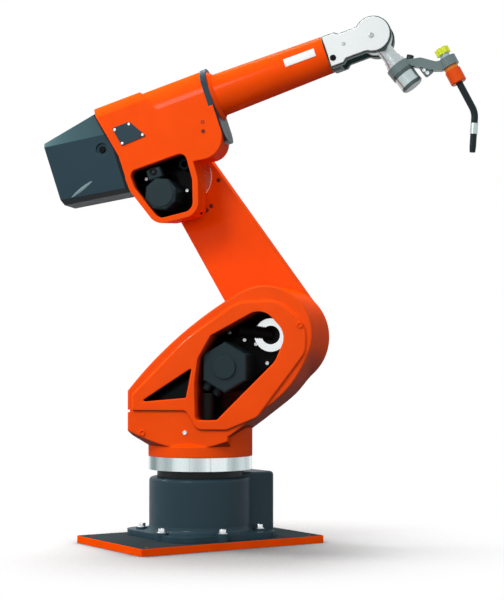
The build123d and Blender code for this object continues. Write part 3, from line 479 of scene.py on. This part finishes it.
def inside_outline(tree, origin, along_axis, corners, face, dim, dark, back):
    """1 where a surface lies within a convex outline and deeper behind the face than dark. It
    falls to 0 at the depth dim, and ends at back. Each side gives the distance past it, and the
    greatest of them is below zero only within the outline."""
    points = np.array(corners)
    after = np.roll(points, -1, axis=0)
    area = np.sum(points[:, 0] * after[:, 1] - after[:, 0] * points[:, 1])
    runs = (after - points) * np.sign(area)
    outward = np.stack([runs[:, 1], -runs[:, 0]], axis=1)
    outward = outward / np.linalg.norm(runs, axis=1, keepdims=True)
    normals = outward @ np.stack([along_axis, np.cross(along_axis, ACROSS)])
    offsets = normals @ origin + np.sum(outward * points, axis=1)
    place = tree.nodes.new("ShaderNodeTexCoord").outputs["Object"]
    greatest = None
    for normal, offset in zip(normals, offsets):
        past = calculate(tree, "SUBTRACT", dot_product(tree, place, normal), offset)
        greatest = past if greatest is None else calculate(tree, "MAXIMUM", greatest, past)
    within = ranged(tree, greatest, *OUTLINE_BLEND)
    deep = ramp_along(tree, ACROSS, face + dim, face + dark)
    shallow = ramp_along(tree, ACROSS, back + BACK_BLEND[0], back + BACK_BLEND[1])
    return calculate(tree, "MULTIPLY", calculate(tree, "MULTIPLY", within, deep), shallow)


def upward_share(tree, start, full, most):
    """Rises from 0 to most as the upward part of the surface's normal goes from start to full."""
    look = tree.nodes.new("ShaderNodeTexCoord")
    parts = tree.nodes.new("ShaderNodeSeparateXYZ")
    tree.links.new(look.outputs["Normal"], parts.inputs[0])
    return ranged(tree, parts.outputs["Z"], start, full, 0.0, most)


SHOULDER = middle_of("axis2_shoulder")
column_paint = paint("column_paint", ORANGE, roughness=0.5, specular=0.0, coat=0.04, wear_and_highlight=0.6,
                     rounding=0.009)
column_tree = column_paint.node_tree
window_painted_shade = inside_outline(column_tree, SHOULDER, FORWARD, MAIN_WINDOW, COLUMN_FACE,
                              dim=0.030, dark=0.115, back=0.060)
corner_painted_shade = inside_outline(column_tree, SHOULDER, FORWARD, CORNER_WINDOW, COLUMN_FACE,
                              dim=0.011, dark=0.022, back=-0.065)
red_shade_spots = value_noise(column_tree, scale=11.0, detail=1.0, low=-0.8, high=1.0)
# Painted shade in the windows, deepening with depth, with dim red spots painted as shaded orange
# walls.
over(column_paint, window_painted_shade, PAINTED_CAVITY_SHADE)
over(column_paint, calculate(column_tree, "MULTIPLY", window_painted_shade, red_shade_spots), PAINTED_RED_SHADE)
over(column_paint, corner_painted_shade, PAINTED_CAVITY_SHADE)
# Painted shade: faces that look downwards are darkened towards a dark grey.
over(column_paint, upward_share(column_tree, start=-0.25, full=-0.75, most=0.6), PAINTED_UNDERSIDE_SHADE)
finish_nodes(column_paint, "column_casting")

orange_paint = paint("orange_paint", ORANGE, roughness=0.5, specular=0.0, coat=0.03, wear_and_highlight=0.25,
                     rounding=0.007)
fit(turned_piece("column_screw", SOCKET_HEAD, COLUMN_SCREW_SIZE,
                 beside(SHOULDER, FORWARD, COLUMN_SCREW_SPOT), -ACROSS),
    zinc_plate, "column")
fit(turned_piece("column_plugs", SOCKET_HEAD, COLUMN_PLUG_SIZE,
                 beside(SHOULDER, FORWARD, COLUMN_PLUG_SPOTS), -ACROSS),
    orange_paint, "column")


# Drives of the first two axes: dark servo motors and a gear case behind the column's windows.
# The gear's ring is polished, zinc screws hold the case, and a ribbed rubber sleeve runs into it.
# Two round sockets stand on the motor's underside.
GEAR_SCREW_SIZE = (0.0065, 0.007)
GEAR_SCREW_SPOTS = ((-0.098, 0.0, -0.016), (-0.059, 0.0, -0.030), (-0.020, 0.0, -0.094),
                    (-0.150, 0.0, 0.010))
SLEEVE_SIZE = (0.0235, 0.115)
SLEEVE_SPOT = (0.006, -0.030, 0.004)
SLEEVE_RUN = -0.95 * FORWARD - 0.12 * ACROSS + 0.10 * UP
SLEEVE_RIBS = 16
RIB = ((0.0, 0.90), (0.3, 1.0), (0.6, 1.0), (0.9, 0.90))
RIBBED = [(0.0, 0.0, 0)] + [(share, (step + part) / SLEEVE_RIBS, 0)
                            for step in range(SLEEVE_RIBS) for part, share in RIB] + [(0.0, 1.0, 0)]
GLAND = ((0.0, 0.0, 0), (1.0, 0.0, 0), (1.0, 0.22, 1), (0.88, 0.26, 0), (0.88, 0.5, 0),
         (1.0, 0.55, 0), (1.0, 0.62, 0), (0.9, 0.66, 0), (1.0, 0.7, 0), (1.0, 0.77, 0),
         (0.9, 0.81, 0), (0.9, 0.97, 0), (0.84, 1.0, 0), (0.5, 1.0, 0), (0.46, 0.9, 0),
         (0.0, 0.9, 0))
MOTOR2_SOCKET_SIZE = (0.014, 0.036)
MOTOR2_SOCKET_SPOTS = ((-0.190, -0.112, -0.150), (-0.162, -0.092, -0.168))
MOTOR2_SOCKET_LEAN = -0.45 * FORWARD - 0.9 * UP
motor_paint = paint("motor_paint", (0.018, 0.034, 0.040), roughness=0.42, specular=0.1, wear_and_highlight=0.5,
                    rounding=0.0025)
gear_black = paint("gear_black", (0.0035, 0.0035, 0.004), roughness=0.5, specular=0.1, wear_and_highlight=1.2,
                   rounding=0.0015)
polished_steel = paint("polished_steel", (0.82, 0.86, 0.87), roughness=0.2, metal=1.0, wear_and_highlight=0.0,
                       rounding=0.0015, lift=0.01)
finish_nodes(motor_paint, "axis2_motor")
finish_nodes(gear_black, "axis2_gear_case", "axis1_motor", "axis2_gear_plug")
finish_nodes(polished_steel, "axis2_gear_ring", "axis2_flange")
fit(turned_piece("gear_case_screws", SOCKET_HEAD, GEAR_SCREW_SIZE,
                 beside(SHOULDER, FORWARD, GEAR_SCREW_SPOTS), -ACROSS),
    zinc_plate, "column")
fit(turned_piece("gear_sleeve", RIBBED, SLEEVE_SIZE, beside(SHOULDER, FORWARD, SLEEVE_SPOT),
                 SLEEVE_RUN), gear_black, "column")
fit(turned_piece("motor2_sockets", GLAND, MOTOR2_SOCKET_SIZE,
                 beside(SHOULDER, FORWARD, MOTOR2_SOCKET_SPOTS), MOTOR2_SOCKET_LEAN),
    motor_paint, "column")


# Link arm: a flat casting between the second and third axes, sprayed orange, with turned caps over
# its far ends. Four screws stand beside the housing on its near face, painted dark red as the shade
# of their recesses.
ELBOW = middle_of("axis3_elbow")
LINK_NEAR = 0.095
LINK_SCREW_SIZE = (0.0075, 0.0025)
LINK_SCREW_SPOTS = ((0.116, LINK_NEAR, -0.012), (0.090, LINK_NEAR, -0.102),
                    (0.074, LINK_NEAR, -0.116), (0.050, LINK_NEAR, -0.132))
# Dark red painted as the shade inside screw recesses.
painted_recess_shade = paint("painted_recess_shade", (0.16, 0.012, 0.002), roughness=0.5, wear_and_highlight=0.3, rounding=0.001)
finish_nodes(orange_paint, "link_arm", "link_lower_cap", "link_upper_cap")
fit(turned_piece("link_screws", BUTTON_HEAD, LINK_SCREW_SIZE,
                 beside(ELBOW, FORWARD, LINK_SCREW_SPOTS), -ACROSS),
    painted_recess_shade, "link")


# Arm housing: a barrel casting for the forearm's drives, with a window on the third axis's motor,
# whose inside is painted dark as shade. It carries a bare name-plate blank on four screws, and two
# plugs painted dark red as the shade of recesses.
FOREARM = np.array(joints["axis4_forearm_roll"]["axis"])
FOREARM_FOOT = middle_of("axis4_forearm_roll")
HOUSING_SIDE = -0.090
HOUSING_WINDOW = ((-0.146, -0.1605), (0.060, -0.1615), (0.056, -0.2595), (0.026, -0.3585),
                  (-0.096, -0.3475), (-0.143, -0.2195))
PLATE_FACE = -0.093
PLATE_SCREW_SIZE = (0.0052, 0.0028)
PLATE_SCREW_SPOTS = ((-0.147, PLATE_FACE, -0.008), (-0.094, PLATE_FACE, -0.007),
                     (-0.060, PLATE_FACE, -0.058), (-0.136, PLATE_FACE, -0.061))
HOUSING_PLUG_SIZE = (0.0065, 0.003)
HOUSING_PLUG_SPOTS = ((0.150, -0.0880, -0.088), (0.142, HOUSING_SIDE, -0.118))
housing_paint = paint("housing_paint", ORANGE, roughness=0.5, specular=0.0, coat=0.03, wear_and_highlight=0.4,
                      rounding=0.006)
housing_window_painted_shade = inside_outline(housing_paint.node_tree, FOREARM_FOOT, FOREARM, HOUSING_WINDOW,
                               HOUSING_SIDE, dim=0.011, dark=0.045, back=0.050)
# Painted shade inside the housing's window, deeper behind its near side.
over(housing_paint, housing_window_painted_shade, PAINTED_CAVITY_SHADE)
finish_nodes(housing_paint, "arm_housing")
finish_nodes(anthracite_paint, "housing_plate", "forearm_bearing")
fit(turned_piece("plate_screws", BUTTON_HEAD, PLATE_SCREW_SIZE,
                 beside(FOREARM_FOOT, FOREARM, PLATE_SCREW_SPOTS), -ACROSS),
    zinc_plate, "arm")
# The plugs are painted dark red as the shade of recesses.
fit(turned_piece("housing_plugs", SOCKET_HEAD, HOUSING_PLUG_SIZE,
                 beside(FOREARM_FOOT, FOREARM, HOUSING_PLUG_SPOTS), -ACROSS),
    painted_recess_shade, "arm")


# Drive of the third axis: a servo motor with a round end cap, its socket block, a small drive
# wheel and two screws, which stand in the dark of the housing's window. Its flange is polished.
MOTOR3_BLOCK_SPOT = (-0.068, -0.050, -0.191)
MOTOR3_BLOCK_HALF = (0.026, 0.020, 0.020)
MOTOR3_SOCKET_SIZE = (0.0125, 0.006)
MOTOR3_SOCKET_SPOT = (-0.069, -0.069, -0.184)
MOTOR3_WHEEL_SIZE = (0.020, 0.012)
MOTOR3_WHEEL_SPOT = (0.026, 0.020, -0.180)
WINDOW_SCREW_SIZE = (0.006, 0.010)
WINDOW_SCREW_SPOTS = ((0.004, 0.030, -0.268), (-0.116, 0.010, -0.186))
BUSH = ((0.55, 0.0, 0), (1.0, 0.0, 0), (1.0, 0.8, 0), (0.94, 1.0, 0), (0.62, 1.0, 0),
        (0.55, 0.9, 0))


def rounded_block(name, centre, half, along_axis, power=6.0, steps=24):
    """A box with soft edges: a superellipsoid. Each coordinate is its half size times a signed
    cosine or sine of two angles, raised to two over the power."""
    def bend(value):
        """The value's size raised to two over the power, with its sign kept."""
        return np.sign(value) * np.abs(value) ** (2.0 / power)

    lift = np.linspace(-0.5 * np.pi, 0.5 * np.pi, steps + 1)[:, None]
    spin = np.linspace(0.0, 2.0 * np.pi, 2 * steps, endpoint=False)[None, :]
    local = np.stack(np.broadcast_arrays(half[0] * bend(np.cos(lift)) * bend(np.cos(spin)),
                                         half[1] * bend(np.cos(lift)) * bend(np.sin(spin)),
                                         half[2] * bend(np.sin(lift))), axis=-1)
    return closed_mesh(name, beside(centre, along_axis, local), grid_quads(steps + 1, 2 * steps))


finish_nodes(motor_paint, "axis3_motor")
finish_nodes(polished_steel, "axis3_flange")
fit(rounded_block("motor3_block", beside(FOREARM_FOOT, FOREARM, MOTOR3_BLOCK_SPOT),
                  MOTOR3_BLOCK_HALF, FOREARM), motor_paint, "arm")
fit(turned_piece("motor3_socket", BUSH, MOTOR3_SOCKET_SIZE,
                 beside(FOREARM_FOOT, FOREARM, MOTOR3_SOCKET_SPOT), -ACROSS),
    gear_black, "arm")
fit(turned_piece("motor3_wheel", BUSH, MOTOR3_WHEEL_SIZE,
                 beside(FOREARM_FOOT, FOREARM, MOTOR3_WHEEL_SPOT), -ACROSS),
    motor_paint, "arm")
fit(turned_piece("window_screws", SOCKET_HEAD, WINDOW_SCREW_SIZE,
                 beside(FOREARM_FOOT, FOREARM, WINDOW_SCREW_SPOTS), -ACROSS),
    zinc_plate, "arm")


# Rear cover: a moulded shell over the drives of the wrist axes, in satin anthracite, held by one
# screw at each side. A painted shadow runs round its front end, where it meets the housing. Its
# upper faces carry a painted pale reflection and its lower faces painted shade, and a slanting
# crease, painted pale as a highlight, is pressed into its near side.
PAINTED_COVER_TOP_REFLECTION = (0.13, 0.27, 0.27)
PAINTED_COVER_UNDERSIDE_SHADE = (0.010, 0.022, 0.030)
PAINTED_COVER_JOINT_SHADOW = (0.004, 0.007, 0.009)
COVER_HALF = 0.2
JOINT_SHADOW_OUTLINES = (((-0.219, 0.110), (-0.173, -0.062), (-0.100, -0.062), (-0.100, 0.110)),
                 ((-0.173, -0.060), (-0.173, -0.245), (-0.100, -0.245), (-0.100, -0.060)))
COVER_SCREW_SIZE = (0.012, 0.007)
RECESS_FLOOR = 0.080
COVER_SCREW_SPOTS = ((-0.212, -RECESS_FLOOR, -0.055), (-0.212, RECESS_FLOOR, -0.055))
COVER_SIDE = 0.0868
CREASE_START = np.array((-0.366, -0.176))
CREASE_END = np.array((-0.276, -0.146))
CREASE_WIDTH = 0.007
CREASE_HEIGHT = 0.0022
CREASE_SUNK = 0.001
CREASE_SWELL = 0.6
CREASE_TIP = 1e-4
CREASE_STEPS = 28


def pressed_crease(name):
    """A slim ridge on the cover's flat near side. Along its line the width and height follow a
    sine, so that both ends run out. Across it the height follows one minus the square, and the
    underside lies just inside the wall."""
    run = np.linspace(0.0, 1.0, CREASE_STEPS + 1)[:, None]
    turn = np.linspace(0.0, 2.0 * np.pi, CREASE_STEPS, endpoint=False)[None, :]
    swell = np.sin(np.pi * run) ** CREASE_SWELL + CREASE_TIP
    line = CREASE_START + run * (CREASE_END - CREASE_START)
    direction = (CREASE_END - CREASE_START) / np.linalg.norm(CREASE_END - CREASE_START)
    offset = CREASE_WIDTH * swell * np.cos(turn)
    along = line[:, :1] - offset * direction[1]
    up = line[:, 1:] + offset * direction[0]
    height = np.where(np.sin(turn) > 0.0, CREASE_HEIGHT, -CREASE_SUNK)
    proud = height * swell * np.sin(turn) ** 2
    points = beside(FOREARM_FOOT, FOREARM, np.stack([along, -(COVER_SIDE + proud), up], axis=-1))
    first_end = np.arange(CREASE_STEPS)
    return closed_mesh(name, points, grid_quads(CREASE_STEPS + 1, CREASE_STEPS),
                       ends=(first_end[::-1], CREASE_STEPS * CREASE_STEPS + first_end))


cover_paint = paint("cover_paint", (0.016, 0.042, 0.058), roughness=0.5, specular=0.03, coat=0.06,
                    wear_and_highlight=1.2, rounding=0.004, grain=500.0, lift=0.06)
cover_tree = cover_paint.node_tree
# Painted reflection on faces that look upwards, and painted shade on faces that look downwards.
over(cover_paint, upward_share(cover_tree, start=0.15, full=0.9, most=0.55), PAINTED_COVER_TOP_REFLECTION)
over(cover_paint, upward_share(cover_tree, start=-0.3, full=-0.9, most=0.9), PAINTED_COVER_UNDERSIDE_SHADE)
# Painted shadow along the cover's joint with the housing.
for joint_shadow_outline in JOINT_SHADOW_OUTLINES:
    over(cover_paint, inside_outline(cover_tree, FOREARM_FOOT, FOREARM, joint_shadow_outline, -COVER_HALF,
                                     dim=0.0, dark=0.001, back=COVER_HALF), PAINTED_COVER_JOINT_SHADOW)
finish_nodes(cover_paint, "rear_cover")
fit(turned_piece("cover_screws", BUTTON_HEAD, COVER_SCREW_SIZE,
                 beside(FOREARM_FOOT, FOREARM, COVER_SCREW_SPOTS), (-ACROSS, ACROSS)),
    gear_black, "arm")
# The crease is painted pale as a highlight along its ridge.
crease_painted_highlight = paint("crease_painted_highlight", (0.17, 0.27, 0.29), roughness=0.3, specular=0.2, wear_and_highlight=0.0)
fit(pressed_crease("cover_crease"), crease_painted_highlight, "arm")


# Forearm tube: a drawn steel tube, sprayed orange, that turns in the bearing at the housing's
# front. A bare white label blank is stuck on near its end.
tube_paint = paint("tube_paint", ORANGE, roughness=0.5, specular=0.0, coat=0.025, wear_and_highlight=0.25,
                   rounding=0.003)
label_white = paint("label_white", (0.86, 0.87, 0.86), roughness=0.5, wear_and_highlight=0.0, mottle=0.02)
finish_nodes(tube_paint, "forearm_tube")
finish_nodes(label_white, "label_plate")


# Wrist: a grey cast fork with screwed-on covers. The near cover is painted white and has a hub
# screw, a side screw and a black plug, and the far one is grey with a boss.
WRIST = middle_of("axis5_wrist_bend")
COVER_FACE = -0.059
HUB_SCREW_SIZE = (0.0085, 0.003)
HUB_SCREW_SPOT = (-0.006, COVER_FACE, -0.003)
SIDE_SCREW_SIZE = (0.0065, 0.0025)
SIDE_SCREW_SPOT = (-0.101, COVER_FACE, 0.002)
WRIST_PLUG_SIZE = (0.0105, 0.004)
WRIST_PLUG_SPOT = (-0.149, COVER_FACE, -0.030)
fork_grey = paint("fork_grey", (0.042, 0.074, 0.074), roughness=0.4, specular=0.12, wear_and_highlight=1.6,
                  rounding=0.0025, grain=600.0, lift=0.08)
cover_white = paint("cover_white", (0.80, 0.84, 0.84), roughness=0.42, specular=0.3, wear_and_highlight=0.0,
                    rounding=0.0015, mottle=0.02)
steel_grey = paint("steel_grey", (0.42, 0.45, 0.46), roughness=0.35, metal=0.8, wear_and_highlight=0.2,
                   rounding=0.0005)
finish_nodes(fork_grey, "wrist_fork", "wrist_cover_far")
finish_nodes(cover_white, "wrist_cover_near")
fit(turned_piece("wrist_hub_screw", SOCKET_HEAD, HUB_SCREW_SIZE,
                 beside(WRIST, FOREARM, HUB_SCREW_SPOT), -ACROSS),
    steel_grey, "forearm")
fit(turned_piece("wrist_side_screw", BUTTON_HEAD, SIDE_SCREW_SIZE,
                 beside(WRIST, FOREARM, SIDE_SCREW_SPOT), -ACROSS),
    steel_grey, "forearm")
fit(turned_piece("wrist_plug", BUTTON_HEAD, WRIST_PLUG_SIZE,
                 beside(WRIST, FOREARM, WRIST_PLUG_SPOT), -ACROSS),
    gear_black, "forearm")


# Hand and tool flange: ground light alloy. The hand bends between the fork's cheeks, and the
# flange turns on its end about the tool's axis.
HAND = np.array(joints["axis6_tool_roll"]["axis"])
HAND_REACH = 0.125
TOOL_FOOT = beside(WRIST, HAND, (HAND_REACH, 0.0, 0.0))
hand_alloy = paint("hand_alloy", (0.50, 0.56, 0.57), roughness=0.28, metal=0.9, wear_and_highlight=0.1,
                   rounding=0.002, mottle=0.06)
finish_nodes(hand_alloy, "hand", "tool_flange")


# Breakaway sensor: a bright turned can between a dark ring and a dark rim, screwed to the tool
# flange. It gives way when the torch meets an obstacle.
SENSOR_START = 0.028
SENSOR_LENGTH = 0.061
SENSOR_BAND = 0.012
BAND_BLEND = 0.001
DARK_BAND = (0.075, 0.105, 0.108)
sensor_steel = paint("sensor_steel", (0.50, 0.60, 0.60), roughness=0.25, metal=0.85, wear_and_highlight=0.1,
                     rounding=0.002, mottle=0.08)
sensor_tree = sensor_steel.node_tree
ring_end = float(np.dot(TOOL_FOOT, HAND)) + SENSOR_START + SENSOR_BAND
rim_start = float(np.dot(TOOL_FOOT, HAND)) + SENSOR_START + SENSOR_LENGTH - SENSOR_BAND
over(sensor_steel, ramp_along(sensor_tree, HAND, ring_end + BAND_BLEND, ring_end), DARK_BAND)
over(sensor_steel, ramp_along(sensor_tree, HAND, rim_start, rim_start + BAND_BLEND), DARK_BAND)
finish_nodes(sensor_steel, "breakaway_sensor")


# Torch bracket: a grey cast arm from the sensor's hub to the torch's clamp, with a black knob.
# The clamp closes on a lug under it with two screws.
LUG_SPOT = (0.073, 0.0, 0.066)
LUG_HALF = (0.020, 0.0125, 0.016)
CLAMP_SCREW_SIZE = (0.0062, 0.005)
CLAMP_SCREW_SPOTS = ((0.071, -0.0122, 0.060), (0.085, -0.0122, 0.063))
bracket_grey = paint("bracket_grey", (0.130, 0.185, 0.185), roughness=0.36, specular=0.4, wear_and_highlight=0.9,
                     rounding=0.002, grain=600.0, lift=0.06)
knob_black = paint("knob_black", (0.010, 0.013, 0.014), roughness=0.4, wear_and_highlight=0.8)
finish_nodes(bracket_grey, "torch_bracket")
finish_nodes(knob_black, "bracket_knob")
fit(rounded_block("clamp_lug", beside(TOOL_FOOT, HAND, LUG_SPOT), LUG_HALF, HAND),
    bracket_grey, "tool")
fit(turned_piece("clamp_screws", SOCKET_HEAD, CLAMP_SCREW_SIZE,
                 beside(TOOL_FOOT, HAND, CLAMP_SCREW_SPOTS), -ACROSS),
    zinc_plate, "tool")


# Torch: an orange moulded grip on an amber ring, a black swan neck, a nickel sleeve and a black
# nozzle. Its adjusting knob is yellow, on a pale collar.
grip_orange = paint("grip_orange", (0.78, 0.075, 0.002), roughness=0.3, specular=0.12, wear_and_highlight=0.15,
                    rounding=0.002)
ring_amber = paint("ring_amber", (0.72, 0.20, 0.008), roughness=0.35, specular=0.4, wear_and_highlight=0.15,
                   rounding=0.0015)
neck_black = paint("neck_black", (0.010, 0.018, 0.021), roughness=0.3, specular=0.15, wear_and_highlight=0.5,
                   rounding=0.0015)
sleeve_nickel = paint("sleeve_nickel", (0.50, 0.58, 0.57), roughness=0.3, metal=0.8, wear_and_highlight=0.0,
                      rounding=0.001)
knob_yellow = paint("knob_yellow", (0.70, 0.80, 0.035), roughness=0.35, wear_and_highlight=0.1, rounding=0.002)
collar_pale = paint("collar_pale", (0.42, 0.50, 0.52), roughness=0.4, wear_and_highlight=0.1, rounding=0.0015)
finish_nodes(grip_orange, "torch_holder")
finish_nodes(ring_amber, "torch_ring")
finish_nodes(neck_black, "torch_neck", "gas_nozzle")
finish_nodes(sleeve_nickel, "neck_sleeve")
finish_nodes(knob_yellow, "yellow_knob")
finish_nodes(collar_pale, "knob_base")
